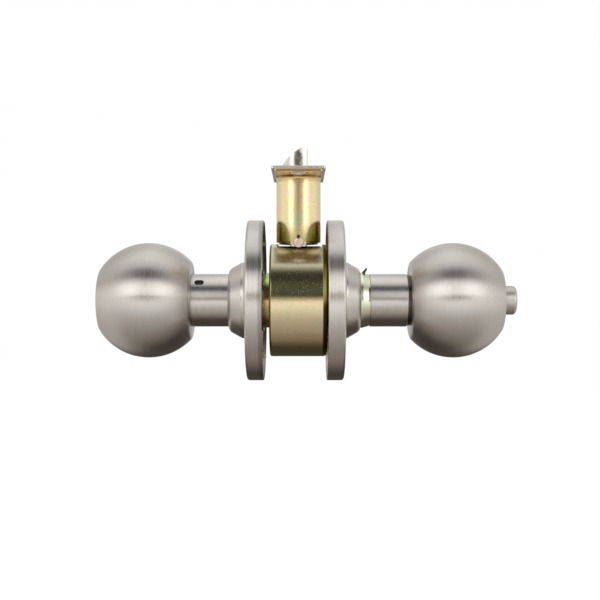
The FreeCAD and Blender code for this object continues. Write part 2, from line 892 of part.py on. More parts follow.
def cam_shape():
    """Cam of two lobes about X. The involute lobes roll on a flat shoulder, so the shoulder goes down by
    the base radius times the angle. The outline is drawn in Y and Z."""
    base, flat, top = cam_base(), d.cam_flat.value, d.cam_top.value
    swing = math.radians(d.cam_swing.value)

    def lobe(side):
        points = []
        for step in range(LOBE_POINTS):
            angle = swing * step / (LOBE_POINTS - 1)
            reach = flat + base * angle
            y = base * math.cos(angle) + reach * math.sin(angle)
            z = base * math.sin(angle) - reach * math.cos(angle)
            points.append(Vector(0, side * y, z))
        return points

    left, right = lobe(-1), lobe(1)
    curves = []
    for points in (left, right):
        curve = Part.BSplineCurve()
        curve.interpolate(points)
        curves.append(curve.toShape())
    low = math.radians(d.cam_crown.value)
    crown = [Vector(0, side * top * math.cos(low), top * math.sin(low)) for side in (-1, 1)]
    edges = [
        curves[0], Part.makeLine(left[-1], crown[0]),
        Part.Arc(crown[0], Vector(0, 0, top), crown[1]).toShape(),
        Part.makeLine(crown[1], right[-1]), curves[1], Part.makeLine(right[0], left[0]),
    ]
    face = Part.Face(Part.Wire(Part.__sortEdges__(edges)))
    solid = face.extrude(Vector(d.cam_thick.value, 0, 0))
    bore = Part.makeCylinder(d.cam_bore.value, d.cam_thick.value, Vector(), Vector(1, 0, 0))
    return solid.cut(bore)


def cams():
    start = d.cam_start.value
    feature("inner_cam", cam_shape(), Placement(Vector(start, 0, 0), Rotation()))
    feature("outer_cam", cam_shape(), Placement(Vector(-start - d.cam_thick.value, 0, 0), Rotation()))


def catch_hole(body, x):
    """Slot through one side of a tube, where the catch comes out."""
    sketch = sketch_on(body, "XY_Plane", tilt=-d.catch_tilt)
    draw_outline(sketch, catch_section(x))
    cut_through(body, sketch, way=1)


def neck(label, seat, knob_gap, end, root, outer):
    """Shank of a knob: a tube as far as the knob, and a narrower sleeve inside it."""
    body = new_body(label)
    shoulder = seat - knob_gap
    revolve(body, [
        (end, d.neck_rad - d.neck_wall), (end, d.neck_rad), (shoulder, d.neck_rad),
        (shoulder, d.sleeve_rad), (root, d.sleeve_rad), (root, sleeve_bore),
        (shoulder - d.neck_wall, sleeve_bore), (shoulder - d.neck_wall, d.neck_rad - d.neck_wall),
    ])
    if outer:
        turn_about_z(body)
    else:
        round_circles(body, d.neck_edge, ring_at(shoulder, d.neck_rad))
    catch_hole(body, catch_place(seat, knob_gap))


def catch_place(seat, knob_gap):
    return seat - knob_gap - d.catch_inset


def spindle(label, seat, knob_gap, outer):
    """Tube that joins a knob's neck to its cam."""
    body = new_body(label)
    start = d.cam_start + d.cam_thick
    end = seat - knob_gap - d.neck_wall - d.slide_gap
    bore = d.spindle_rad - d.spindle_wall
    revolve(body, [(start, bore), (start, d.spindle_rad), (end, d.spindle_rad), (end, bore)])
    if outer:
        turn_about_z(body)
    catch_hole(body, catch_place(seat, knob_gap))


def catch(label, x, outer):
    """Catch that stands in the neck's hole, with a flange that stays inside the spindle."""
    body = new_body(label)
    stem = sketch_on(body, "XY_Plane", lift=d.catch_flange_rad, tilt=-d.catch_tilt)
    draw_outline(stem, catch_section(x, -d.run_gap * 2))
    extrude(body, stem, d.neck_rad - d.catch_sink - d.catch_flange_rad)
    flange = sketch_on(body, "XY_Plane", lift=d.catch_flange_rad - d.catch_flange, tilt=-d.catch_tilt)
    draw_outline(flange, catch_section(x, d.catch_step))
    extrude(body, flange, d.catch_flange)
    if outer:
        turn_about_z(body)


def catch_spring(label, middle, outer):
    """Curved leaf inside the spindle that presses the catch out."""
    body = new_body(label)
    half = d.leaf_width / 2
    top = d.catch_flange_rad - d.catch_flange
    revolve(body, box_corners(middle - half, middle + half, top - d.leaf_thick, top), angle=d.leaf_sweep)
    start = Rotation(Vector(1, 0, 0), -d.catch_tilt.value - d.leaf_sweep.value / 2)
    body.Placement = Placement(Vector(), start)
    if outer:
        body.Placement = Placement(Vector(), Rotation(Vector(0, 0, 1), 180) * start)


def knob(label, seat, outer, face_rad):
    """Hollow ball knob, cut flat where it meets the neck and closed by a shallow dome in front."""
    body = new_body(label)
    shoulder = d.knob_front - d.knob_dome
    rim = leg(d.knob_rad, shoulder)
    back = leg(d.knob_rad, d.knob_back)
    dome = (rim * rim + d.knob_dome * d.knob_dome) / (d.knob_dome * 2)
    revolve(body, [
        (-d.knob_back, 0), (-d.knob_back, back, -d.knob_rad), (shoulder, rim, -dome), (d.knob_front, 0),
    ])
    round_circles(body, d.front_edge, ring_at(shoulder, rim))
    round_circles(body, d.back_edge, ring_at(-d.knob_back, back))
    inner = d.knob_rad - d.knob_wall
    low = d.knob_wall - d.knob_back
    high = shoulder - d.knob_wall
    groove(body, [(low, 0), (low, leg(inner, low), -inner), (high, leg(inner, high)), (high, 0)])
    past = d.knob_front + d.overrun
    groove(body, [(0, 0), (0, face_rad), (past, face_rad), (past, 0)])
    mouth = d.sleeve_rad + d.run_gap
    groove(body, [(-d.knob_back - d.overrun, 0), (-d.knob_back - d.overrun, mouth), (0, mouth), (0, 0)])
    if outer:
        turn_about_z(body)
        move_x(body, -(seat + d.knob_back))
    else:
        move_x(body, seat + d.knob_back)


def pin_places():
    """Distance of each pin from the cylinder's face."""
    return [d.pin_first + d.pin_pitch * number for number in range(int(d.pin_count.value))]


def cylinder_shell():
    """Body of the key cylinder, with the chamber block for the drivers above the plug."""
    body = new_body("cylinder_shell")
    tail = -cylinder_tail
    step = tail - d.cylinder_flange
    revolve(body, [
        (-cylinder_face, 0), (-cylinder_face, d.cylinder_rad), (step, d.cylinder_rad),
        (step, sleeve_bore), (tail, sleeve_bore), (tail, 0),
    ])
    block = sketch_on(body, "XY_Plane")
    half = d.bible_width / 2
    draw_outline(block, box_corners(d.bible_setback - cylinder_face, step, -half, half))
    extrude(body, block, d.bible_height)
    bore = sketch_on(body, "YZ_Plane")
    draw_circle(bore, 0, 0, d.plug_rad + d.run_gap)
    cut_through(body, bore)
    chamber = sketch_on(body, "XY_Plane")
    draw_circle(chamber, -(cylinder_face - d.pin_first), 0, d.pin_rad + d.run_gap)
    first = cut_through(body, chamber, way=1)
    repeat_along(body, first, chamber, "H_Axis", d.pin_pitch, d.pin_count)


def bible_cover():
    """Strip that closes the top of the driver chambers."""
    half = d.bible_width / 2
    start = cylinder_face - d.bible_setback
    strip = part_box(
        "bible_cover", -start, -(cylinder_tail + d.cylinder_flange), -half, half,
        d.bible_height, d.bible_height + d.bible_cover,
    )
    keep(strip, "bible_cover")


def driver_pins():
    """The drivers, each just above the plug."""
    low = d.plug_rad.value + d.run_gap.value * 2
    pins = []
    for place in pin_places():
        foot = Vector(-(cylinder_face - place).value, 0, low)
        pins.append(Part.makeCylinder(d.pin_rad.value, d.driver_length.value, foot))
    feature("driver_pins", Part.makeCompound(pins))


def pin_springs():
    """The small coils above the drivers."""
    low = d.plug_rad.value + d.run_gap.value * 2 + d.driver_length.value
    length = d.bible_height.value - low
    coils = []
    for place in pin_places():
        wire = d.pin_rad.value / 4
        spring = coil(d.pin_rad.value - wire / 2, wire, length, d.pin_spring_turns.value)
        spring.translate(Vector(-(cylinder_face - place).value, 0, low))
        coils.append(spring)
    feature("pin_springs", Part.makeCompound(coils))


def key_plug():
    """Plug with its keyway, the pin holes, a groove for the clip and a slot for the tailpiece."""
    body = new_body("key_plug")
    face = cylinder_face + d.plug_proud
    tail = cylinder_tail - d.plug_tail
    revolve(body, [(-face, 0), (-face, d.plug_rad), (-tail, d.plug_rad), (-tail, 0)])
    groove_start = cylinder_tail - d.run_gap
    floor = d.plug_rad - d.plug_groove
    groove(body, [
        (-groove_start, floor), (-(groove_start - d.plug_clip_thick), floor),
        (-(groove_start - d.plug_clip_thick), d.plug_rad + d.overrun),
        (-groove_start, d.plug_rad + d.overrun),
    ])
    keyway = sketch_on(body, "YZ_Plane", lift=-(face + d.overrun))
    half = d.keyway_width / 2
    low = -d.keyway_low
    step = d.keyway_height / 4
    rise = step / 2
    ward = half - d.keyway_ward
    draw_outline(keyway, [
        (-half, low), (half, low), (half, low + step), (ward, low + step + rise),
        (ward, low + step * 2 + rise), (half, low + step * 3), (half, low + step * 4),
        (-half, low + step * 4), (-half, low + step * 2), (-ward, low + step + rise), (-half, low + step),
    ])
    cut_depth(body, keyway, d.cylinder_length + d.plug_proud + d.overrun - d.plug_tail)
    hole = sketch_on(body, "XY_Plane")
    draw_circle(hole, -(cylinder_face - d.pin_first), 0, d.pin_rad + d.run_gap)
    first = cut_through(body, hole, way=1)
    repeat_along(body, first, hole, "H_Axis", d.pin_pitch, d.pin_count)
    slot = sketch_on(body, "YZ_Plane", lift=-(tail + d.tailpiece_root))
    draw_outline(slot, tail_section(d.run_gap))
    cut_through(body, slot, way=1)


def tail_section(gap=0):
    half = d.tailpiece_thick / 2 + gap
    reach = d.tailpiece_width / 2 + gap
    return box_corners(-half, half, -reach, reach)


def key_pins():
    """Bottom pins, each cut to its own length with a cone below, tops at the shear line."""
    top = leg(d.plug_rad, d.pin_rad).value - d.run_gap.value
    tip = d.pin_tip.value
    pins = []
    for place, length in zip(pin_places(), PIN_LENGTHS):
        x = -(cylinder_face - place).value
        shank = Part.makeCylinder(d.pin_rad.value, length - tip, Vector(x, 0, top - length + tip))
        cone = Part.makeCone(d.pin_rad.value / 3, d.pin_rad.value, tip, Vector(x, 0, top - length))
        pins.append(shank.fuse(cone).removeSplitter())
    feature("key_pins", Part.makeCompound(pins))


def plug_clip():
    """Open ring in the plug's groove that holds it in the cylinder."""
    body = new_body("plug_clip")
    start = -(cylinder_tail - d.run_gap)
    floor = d.plug_rad - d.plug_groove
    section = box_corners(start, start + d.plug_clip_thick, floor, d.plug_clip_rad)
    revolve(body, section, angle=d.plug_clip_sweep)


def tailpiece():
    """Flat bar that the plug turns, reaching through the spindle to the outer cam."""
    body = new_body("tailpiece")
    start = cylinder_tail - d.plug_tail + d.tailpiece_root
    sketch = sketch_on(body, "YZ_Plane", lift=-start)
    draw_outline(sketch, tail_section())
    extrude(body, sketch, start - d.tailpiece_end)


def button_bushing():
    """Guide of the push button, flanged behind the knob's front and closed behind the spring."""
    body = new_body("button_bushing")
    seat = inner_end - d.knob_dome - d.knob_wall
    front = inner_end - d.knob_dome / 2
    bore = d.button_rad + d.run_gap
    hole = d.bar_rad + d.run_gap * 2
    flange_rad = bushing_rad + d.bushing_wall
    revolve(body, [
        (bushing_root, hole), (bushing_root, bushing_rad), (seat - d.bushing_flange, bushing_rad),
        (seat - d.bushing_flange, flange_rad), (seat, flange_rad), (seat, bushing_rad), (front, bushing_rad),
        (front, bore), (bushing_root + d.end_wall, bore), (bushing_root + d.end_wall, hole),
    ])


def push_button():
    """Round button with a rounded edge and a slight dome."""
    body = new_body("push_button")
    front = inner_end + d.button_reach
    shoulder = front - (d.button_dome - leg(d.button_dome, d.button_rad))
    revolve(body, [
        (button_root, 0), (button_root, d.button_rad), (shoulder, d.button_rad, -d.button_dome), (front, 0),
    ])
    round_circles(body, d.button_edge, ring_at(shoulder, d.button_rad))


def button_spring():
    """Spring between the button and the closed end of its bushing."""
    low = bushing_root.value + d.end_wall.value
    wire = d.coil_wire.value
    spring = coil(d.button_rad.value - wire, wire, button_root.value - low, d.button_turns.value)
    spring.rotate(Vector(), Vector(0, 1, 0), 90)
    spring.translate(Vector(low, 0, 0))
    feature("button_spring", spring)


def locking_bar():
    """Rod from the button to the outer cam, with a cross head at its far end."""
    body = new_body("locking_bar")
    head = -d.bar_end + d.bar_head
    revolve(body, [(head, 0), (head, d.bar_rad), (button_root, d.bar_rad), (button_root, 0)])
    cross = sketch_on(body, "YZ_Plane", lift=-d.bar_end)
    draw_outline(cross, box_corners(-d.bar_head_span, d.bar_head_span, -d.bar_head_half, d.bar_head_half))
    extrude(body, cross, d.bar_head)


def turn_about_line(body, kind, corners, place):
    """Revolve or groove an outline in the YZ plane about an upright line of the same sketch."""
    sketch = sketch_on(body, "YZ_Plane")
    draw_outline(sketch, corners)
    foot, head = Vector(place.value, 0, 0), Vector(place.value, 1, 0)
    line = sketch.addGeometry(Part.LineSegment(foot, head), True)
    pin_point(sketch, line, 1, place, as_size(0))
    pin_point(sketch, line, 2, place, as_size(1))
    turned = body.newObject(f"PartDesign::{kind}", kind)
    turned.Profile = sketch
    turned.ReferenceAxis = (sketch, ["Axis0"])
    turned.Angle = 360
    doc.recompute()
    return turned


def dimple_rad():
    """Outside radius of a screw dimple where it leaves the face plate."""
    slope = (d.sink_rad - d.face_screw_rad) / d.sink_depth
    return d.sink_rad - slope * d.face_thick + d.dimple_wall


def stake_spots(sketch, radius):
    """The four spots where the face plate is staked to the flange of the tube."""
    for x in (-d.stake_x, d.stake_x):
        for y in (-d.stake_y, d.stake_y):
            draw_circle(sketch, x, y, radius)


def latch_faceplate():
    """Face plate with the bolt's hole, four stakes and two screw holes in countersunk dimples."""
    body = new_body("latch_faceplate")
    plate = sketch_on(body, "XY_Plane", lift=face_under)
    draw_outline(plate, rounded_box(d.face_width / 2, d.face_length / 2, d.face_corner))
    extrude(body, plate, d.face_thick)
    hole = sketch_on(body, "XY_Plane", lift=face_under)
    bolt_outline(hole, d.slide_gap)
    cut_through(body, hole)
    stakes = sketch_on(body, "XY_Plane", lift=face_under - d.flange_thick - d.stake_drop)
    stake_spots(stakes, d.stake_rad)
    extrude(body, stakes, d.face_thick / 2 + d.flange_thick + d.stake_drop)
    sunk = d.backset - d.sink_depth
    bottom = sunk - d.sink_land
    for side in (1, -1):
        middle = side * face_screws / 2
        turn_about_line(body, "Revolution", [
            (middle, face_under), (middle + dimple_rad(), face_under),
            (middle + d.face_screw_rad + d.dimple_wall, bottom), (middle, bottom),
        ], middle)
        turn_about_line(body, "Groove", [
            (middle, d.backset), (middle + d.sink_rad, d.backset), (middle + d.face_screw_rad, sunk),
            (middle + d.face_screw_rad, bottom), (middle, bottom),
        ], middle)


def latch_tube():
    """Tube of the latch, drawn out of the flange that backs the face plate."""
    body = new_body("latch_tube")
    seat = face_under - d.flange_thick
    flange = sketch_on(body, "XY_Plane", lift=seat)
    half_x = d.face_width / 2 - d.flange_inset
    half_y = d.face_length / 2 - d.flange_inset
    draw_outline(flange, rounded_box(half_x, half_y, d.face_corner))
    extrude(body, flange, d.flange_thick)
    wall = sketch_on(body, "XY_Plane", lift=tube_end)
    draw_circle(wall, 0, 0, d.tube_rad)
    extrude(body, wall, seat - tube_end)
    round_circles(body, d.flange_blend, ring_at(seat, d.tube_rad, axis=2))
    bore = sketch_on(body, "XY_Plane", lift=tube_end)
    draw_circle(bore, 0, 0, d.tube_rad - d.tube_wall)
    cut_through(body, bore)
    holes = sketch_on(body, "XY_Plane", lift=seat)
    for side in (1, -1):
        draw_circle(holes, 0, side * face_screws / 2, dimple_rad() + d.slide_gap)
    stake_spots(holes, d.stake_rad + d.run_gap)
    cut_through(body, holes)
    peg_hole = sketch_on(body, "XZ_Plane")
    draw_circle(peg_hole, 0, tube_end + d.peg_rise, d.peg_hole)
    cut_depth(body, peg_hole, d.tube_rad + d.overrun)


def latch_end_cap():
    """Plug of the tube's lower end, slotted for the tail, with a low ring and two prongs below."""
    body = new_body("latch_end_cap")
    disc = sketch_on(body, "XY_Plane", lift=tube_end)
    draw_circle(disc, 0, 0, d.tube_rad - d.tube_wall)
    extrude(body, disc, d.tube_cap)
    ring = sketch_on(body, "XY_Plane", lift=d.drum_rad + d.run_gap)
    draw_circle(ring, 0, 0, d.foot_rad)
    draw_circle(ring, 0, 0, d.foot_rad - d.foot_wall)
    extrude(body, ring, d.tube_gap - d.run_gap)
    prongs = sketch_on(body, "XY_Plane", lift=tube_end - d.prong_drop)
    half = d.prong_thick / 2
    for side in (1, -1):
        middle = side * d.prong_place
        draw_outline(prongs, box_corners(middle - half, middle + half, -d.prong_half, d.prong_half))
    extrude(body, prongs, d.prong_drop)
    slot = sketch_on(body, "XY_Plane", lift=tube_end)
    half_x = d.tail_half + d.slide_gap
    half_y = d.tail_head + d.slide_gap
    draw_outline(slot, box_corners(-half_x, half_x, -half_y, half_y))
    cut_through(body, slot)


def latch_stud():
    """Tab under the front of the tube, with a round stud that steadies the latch on the chassis."""
    body = new_body("latch_stud")
    tab = sketch_on(body, "XZ_Plane", lift=d.tube_rad - d.tube_wall)
    draw_outline(tab, box_corners(-d.stud_tab_half, d.stud_tab_half, tube_end - d.stud_tab, tube_end))
    extrude(body, tab, d.tube_wall)
    stud = sketch_on(body, "XZ_Plane", lift=d.tube_rad)
    draw_circle(stud, 0, tube_end - d.stud_drop, d.stud_rad)
    extrude(body, stud, d.stud_height)
    round_circles(body, d.stud_height / 3, face_at(-(d.tube_rad + d.stud_height), axis=1))


def latch_bolt():
    """Spring bolt: round behind the face plate, cut flat on the strike side and bevelled on the other."""
    body = new_body("latch_bolt")
    root = d.backset - d.bolt_root
    top = d.backset + d.bolt_throw
    section = sketch_on(body, "XY_Plane", lift=root)
    bolt_outline(section)
    extrude(body, section, top - root)
    bevel = sketch_on(body, "XZ_Plane")
    low = d.backset + d.bevel_low
    past = bolt_rad + d.bolt_throw
    draw_outline(bevel, [
        (d.bevel_start, top, d.bevel_rad), (-bolt_rad, low), (-past, low), (-past, top + d.bolt_throw),
        (d.bevel_start, top + d.bolt_throw),
    ])
    cut_through(body, bevel)
    corner = sketch_on(body, "XZ_Plane")
    inside, outside = d.bolt_flat - d.bolt_edge, d.bolt_flat + d.overrun
    draw_outline(corner, [
        (d.bolt_flat, top - d.bolt_edge, d.bolt_edge), (inside, top), (inside, top + d.overrun),
        (outside, top + d.overrun), (outside, top - d.bolt_edge),
    ])
    cut_through(body, corner)
    collar = sketch_on(body, "XY_Plane", lift=face_under - d.side_gap - d.bolt_collar)
    draw_circle(collar, 0, 0, d.tube_rad - d.tube_wall - d.run_gap * 2)
    extrude(body, collar, d.bolt_collar)


def bolt_outline(sketch, gap=0):
    """A circle cut flat on the side that faces the strike."""
    radius = bolt_rad + gap
    flat = d.bolt_flat + gap
    reach = leg(radius, flat)
    draw_outline(sketch, [(flat, -reach), (flat, reach, radius), (-radius, 0, radius)])


def bolt_tail():
    """Strip from the bolt down to a cross head, which the retractor's claws pull."""
    body = new_body("bolt_tail")
    top = d.backset - d.bolt_root
    high = d.post_top - d.claw - d.side_gap
    low = high - d.tail_head_height
    profile = sketch_on(body, "YZ_Plane")
    half = [(d.tail_head, low), (d.tail_head, high), (d.tail_width, high), (d.tail_width, top)]
    draw_outline(profile, half + [(-y, z) for y, z in reversed(half)])
    extrude(body, profile, d.tail_half * 2, both=True)


def bolt_spring():
    """Spring between the latch tube's end cap and the bolt."""
    low = tube_end.value + d.tube_cap.value
    length = (d.backset - d.bolt_root).value - low
    spring = coil(d.bolt_coil_rad.value, d.bolt_coil_wire.value, length, d.bolt_coil_turns.value)
    spring.translate(Vector(0, 0, low))
    feature("bolt_spring", spring)


def chassis():
    chassis_drum()
    chassis_cover()
    hub("outer_hub", d.outer_hub_reach, True)
    hub("inner_hub", d.inner_hub_reach, False)
    outer_mount_plate()
    rose("outer_rose", outer_rim, True)
    inner_mount_plate()
    mounting_screws()
    rose("inner_rose", inner_rim, False)
    inner_collar()
    rose_clip()
    retractor_guides()
    spring_seat()


def mechanism():
    retractor()
    retractor_springs()
    cams()


def latch():
    latch_faceplate()
    latch_tube()
    latch_end_cap()
    latch_stud()
    latch_bolt()
    bolt_tail()
    bolt_spring()


def outer_side():
    seat = d.outer_knob_seat
    neck("outer_neck", seat, d.outer_knob_gap, d.outer_neck_end, cylinder_tail + d.cylinder_flange, True)
    spindle("outer_spindle", seat, d.outer_knob_gap, True)
    place = catch_place(seat, d.outer_knob_gap)
    catch("outer_catch", place, True)
    catch_spring("outer_catch_spring", place, True)
    knob("outer_knob", seat, True, d.cylinder_rad + d.run_gap)
    cylinder_shell()
    bible_cover()
    driver_pins()
    pin_springs()
    key_plug()
    key_pins()
    plug_clip()
    tailpiece()


def inner_side():
    seat = d.inner_knob_seat
    neck("inner_neck", seat, d.inner_knob_gap, d.inner_neck_end, seat + d.inner_sleeve, False)
    spindle("inner_spindle", seat, d.inner_knob_gap, False)
    place = catch_place(seat, d.inner_knob_gap)
    catch("inner_catch", place, False)
    catch_spring("inner_catch_spring", place, False)
    knob("inner_knob", seat, False, bushing_rad + d.run_gap)
    button_bushing()
    push_button()
    button_spring()
    locking_bar()


def check_and_write():
    """Refuse a failed object or shape, then write each piece to its own file."""
    doc.recompute()
    for thing in doc.Objects:
        if "Invalid" in thing.State or "Error" in thing.State:
            raise RuntimeError(f"{thing.Name} failed: {thing.State}")
    for piece in pieces:
        shape = piece.Shape
        if shape.isNull() or not shape.isValid() or not shape.Solids:
            raise RuntimeError(f"{piece.Label} has no valid solid")
    for piece in pieces:
        piece.Shape.exportStep(f"parts/{piece.Label}.step")
        print(f"{piece.Label}: {len(piece.Shape.Solids)} solid, {piece.Shape.Volume:.1f} mm3")


chassis()
mechanism()
latch()
outer_side()
inner_side()
check_and_write()
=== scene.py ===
import math
from typing import NamedTuple

import bpy
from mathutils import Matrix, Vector


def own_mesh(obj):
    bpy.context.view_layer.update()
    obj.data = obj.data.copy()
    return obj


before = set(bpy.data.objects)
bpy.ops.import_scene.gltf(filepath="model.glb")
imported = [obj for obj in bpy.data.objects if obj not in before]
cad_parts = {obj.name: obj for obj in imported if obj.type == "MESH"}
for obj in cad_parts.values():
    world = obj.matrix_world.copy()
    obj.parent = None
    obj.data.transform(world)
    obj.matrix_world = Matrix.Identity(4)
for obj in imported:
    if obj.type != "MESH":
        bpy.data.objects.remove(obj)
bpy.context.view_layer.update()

# Knob lock seen level from the front: the knob axis lies along X, the latch points up along Z.
# Places are in metres from the point where the two cross, and colours are linear.

STEEL = (0.60, 0.565, 0.525)
ROSE_STEEL = (0.62, 0.585, 0.545)
PLATE_NICKEL = (0.72, 0.695, 0.665)
BOLT_NICKEL = (0.68, 0.65, 0.61)
PLAIN_STEEL = (0.45, 0.43, 0.41)
DARK_STEEL = (0.10, 0.085, 0.07)
CATCH_STEEL = (0.05, 0.04, 0.035)
BRASS = (0.72, 0.55, 0.26)

DRUM_ZINC = (0.72, 0.605, 0.375)
# Painted reflection and shade on the drum by height: a dark reflection band above the middle, a lighter
# top, and painted shade at the foot.
DRUM_PAINTED_DARK_BAND = (0.43, 0.42, 0.23)
DRUM_PAINTED_TOP = (0.62, 0.58, 0.40)
DRUM_PAINTED_FOOT_SHADE = (0.54, 0.47, 0.24)
COVER_ZINC = (0.30, 0.21, 0.07)
# Painted light and shade on the cover by height: a painted light band above the middle, painted shade on
# its top and below the middle.
COVER_PAINTED_LIGHT_BAND = (0.68, 0.66, 0.30)
COVER_PAINTED_TOP_SHADE = (0.25, 0.20, 0.058)
COVER_PAINTED_FOOT_SHADE = (0.105, 0.072, 0.024)
HUB_ZINC = (0.60, 0.43, 0.17)
HUB_TOP = (0.40, 0.50, 0.20)
MOUNT_ZINC = (0.41, 0.35, 0.135)
COLLAR_ZINC = (0.74, 0.76, 0.58)
TUBE_ZINC = (0.86, 0.715, 0.415)
# Painted shadow on the tube's top under the face plate, and painted shade towards its foot where it meets
# the drum.
TUBE_PAINTED_PLATE_SHADOW = (0.66, 0.47, 0.22)
TUBE_PAINTED_FOOT_SHADE = (0.48, 0.42, 0.18)
STUD_ZINC = (0.86, 0.72, 0.62)

BROWN_TINT = (0.30, 0.19, 0.10)
GREEN_TINT = (0.46, 0.62, 0.36)
PINK_TINT = (0.80, 0.50, 0.42)
DARK_TINTS = BROWN_TINT, GREEN_TINT, PINK_TINT
PALE_TINTS = (0.62, 0.50, 0.27), (0.66, 0.78, 0.50), (0.93, 0.64, 0.50)

# The stakes that hold the face plate show beside the latch tube, under this height.
STAKE_SIDE = 0.0055
STAKE_TOP = 0.0576

# What polished metal sees at each height of its reflection, in degrees: 0 is level towards the
# viewer, 90 is straight up and -90 is straight down.
TABLE = [
    (-180, 0.60), (-165, (0.14, 0.12, 0.10)), (-150, (0.075, 0.062, 0.05)), (-133, (0.10, 0.083, 0.068)),
    (-116, (0.145, 0.12, 0.10)), (-97, (0.25, 0.215, 0.185)), (-80, (0.34, 0.305, 0.275)),
    (-60, (0.47, 0.435, 0.41)), (-42, (0.59, 0.57, 0.55)), (-28, 0.78), (-14, 1.08), (-5, 1.20),
]
MIDDLE = TABLE + [
    (0, 0.85), (2.4, (0.45, 0.39, 0.32)), (6.6, (0.43, 0.37, 0.30)), (7.3, (0.08, 0.07, 0.06)),
    (15, 0.06), (50, 0.06), (60, 0.11), (68, 0.50), (77, 1.15), (88, 1.5), (105, 1.5), (138, 1.0),
    (180, 0.60),
]
SIDES = TABLE + [
    (3, 1.15), (12, 1.50), (28, 1.62), (36, 1.30), (43, 0.78), (50, 0.48), (64, 0.52), (78, 0.80),
    (90, 1.02), (112, 1.02), (126, 0.76), (150, 0.66), (180, 0.60),
]
GAP_WIDTH = [
    (-10, 0.40), (6.6, 0.46), (7.2, 0.72), (8.6, 0.72), (10, 0.12), (40, 0.12), (49, 0.42), (64, 0.42),
    (78, 0.07),
]
LAMP_BAND = [(-6, 0.0), (8, 1.0), (46, 1.0), (56, 0.0)]

# Each of these eases from its third number to its fourth as its measure goes from the first to the
# second: the gap's edge, the bright heart of the side lamps, where the far walls begin, and how
# these dim upwards and backwards.
GAP_EDGE = 0.55, 1.15, 0.0, 1.0
LAMP_HEART = 0.20, 0.50, 0.0, 0.50
FAR_START = -0.3, 0.6, 0.55, 0.18
FAR_UPWARDS = 0.0, 0.45, 1.04, 0.82
FAR_BACKWARDS = -0.1, 0.8, 1.0, 0.74
FAR_BLEND = 0.36
FAR_GREEN = 0.975
FAR_BLUE = 0.95
MATT_LIGHT = 0.6

FLOOR_SIZE = 6
FLOOR_HEIGHT = -0.30
FLOOR_GREY = 0.82

# The card's glow eases from the front edge to the back in the same way.
CARD_PLACE = (0, 0.018, -0.050)
CARD_SIZE = (0.148, 0.104, 1)
CARD_GLOW = -0.034, -0.002, 0.37, 0.08
CARD_GREEN = 0.86
CARD_BLUE = 0.76

# Name, place, width and depth, and watts of each lamp. All of them point at the drum.
LAMPS = [
    ("left_lamp", (-0.7, -0.6, 0.35), (0.5, 0.5), 6),
    ("right_lamp", (0.7, -0.6, 0.35), (0.5, 0.5), 6),
    ("top_lamp", (0, 0.1, 0.9), (0.8, 0.5), 8),
]

CAMERA_PLACE = (0.0007, -0.496, 0.00014)
CAMERA_LENS = 63
CAMERA_SENSOR = 36


class Fade(NamedTuple):
    """A colour that a plated part takes from one height to another, and how much duller it gets there.
    Most fades paint light and shade by height: reflection bands, shadow under the face plate and shade at
    the feet.
    """
    tint: tuple
    start: float
    full: float
    duller: float = 0.0


class Shade(NamedTuple):
    """Painted shade on a part of a round piece that lies in a narrow gap or at an open rim edge: its
    place along the axis and how dark the painted shade gets.
    """
    start: float
    full: float
    dark: float


class Graph:
    """A node tree with short calls for the nodes that the materials use."""

    def __init__(self, tree):
        self.tree = tree
        self.tree.nodes.clear()

    def add(self, kind, **settings):
        node = self.tree.nodes.new("ShaderNode" + kind)
        for name, value in settings.items():
            setattr(node, name, value)
        return node

    def link(self, source, target):
        self.tree.links.new(source, target)

    def put(self, socket, value):
        if isinstance(value, bpy.types.NodeSocket):
            self.link(value, socket)
        else:
            socket.default_value = value

    def math(self, operation, a, b=0.0, c=0.0, clamp=False):
        node = self.add("Math", operation=operation, use_clamp=clamp)
        for socket, value in zip(node.inputs, (a, b, c)):
            self.put(socket, value)
        return node.outputs[0]

    def spread(self, value, low, high, to_low=0.0, to_high=1.0):
        node = self.add("MapRange", interpolation_type="SMOOTHSTEP")
        for name, given in (("Value", value), ("From Min", low), ("From Max", high),
                            ("To Min", to_low), ("To Max", to_high)):
            self.put(node.inputs[name], given)
        return node.outputs[0]

    def blend(self, fac, a, b, mode="MIX"):
        node = self.add("Mix", data_type="RGBA", blend_type=mode)
        self.put(node.inputs[0], fac)
        for socket, value in ((node.inputs[6], a), (node.inputs[7], b)):
            self.put(socket, (*value, 1) if isinstance(value, tuple) else value)
        return node.outputs[2]

    def vector(self, x, y, z):
        node = self.add("CombineXYZ")
        for socket, value in zip(node.inputs, (x, y, z)):
            self.put(socket, value)
        return node.outputs[0]

    def split(self, vector):
        node = self.add("SeparateXYZ")
        self.link(vector, node.inputs[0])
        return node.outputs

    def noise(self, where, scale, detail=2.0, rough=0.5):
        node = self.add("TexNoise")
        self.put(node.inputs["Vector"], where)
        for name, value in (("Scale", scale), ("Detail", detail), ("Roughness", rough)):
            node.inputs[name].default_value = value
        return node.outputs["Fac"]

    def ramp(self, fac, stops):
        node = self.add("ValToRGB")
        self.put(node.inputs[0], fac)
        points = node.color_ramp.elements
        while len(points) < len(stops):
            points.new(0.5)
        for point, (place, colour) in zip(points, stops):
            point.position = place
            point.color = (*colour, 1)
        return node.outputs[0]

    def bump(self, height, distance, strength=1.0):
        node = self.add("Bump")
        self.put(node.inputs["Height"], height)
        node.inputs["Distance"].default_value = distance
        node.inputs["Strength"].default_value = strength
        return node.outputs[0]

    def finish(self, surface, output="OutputMaterial"):
        self.link(surface, self.add(output).inputs["Surface"])


def new_graph(name):
    material = bpy.data.materials.new(name)
    material.use_nodes = True
    return material, Graph(material.node_tree)


def scaled(colour, factor):
    return tuple(min(channel * factor, 1) for channel in colour)


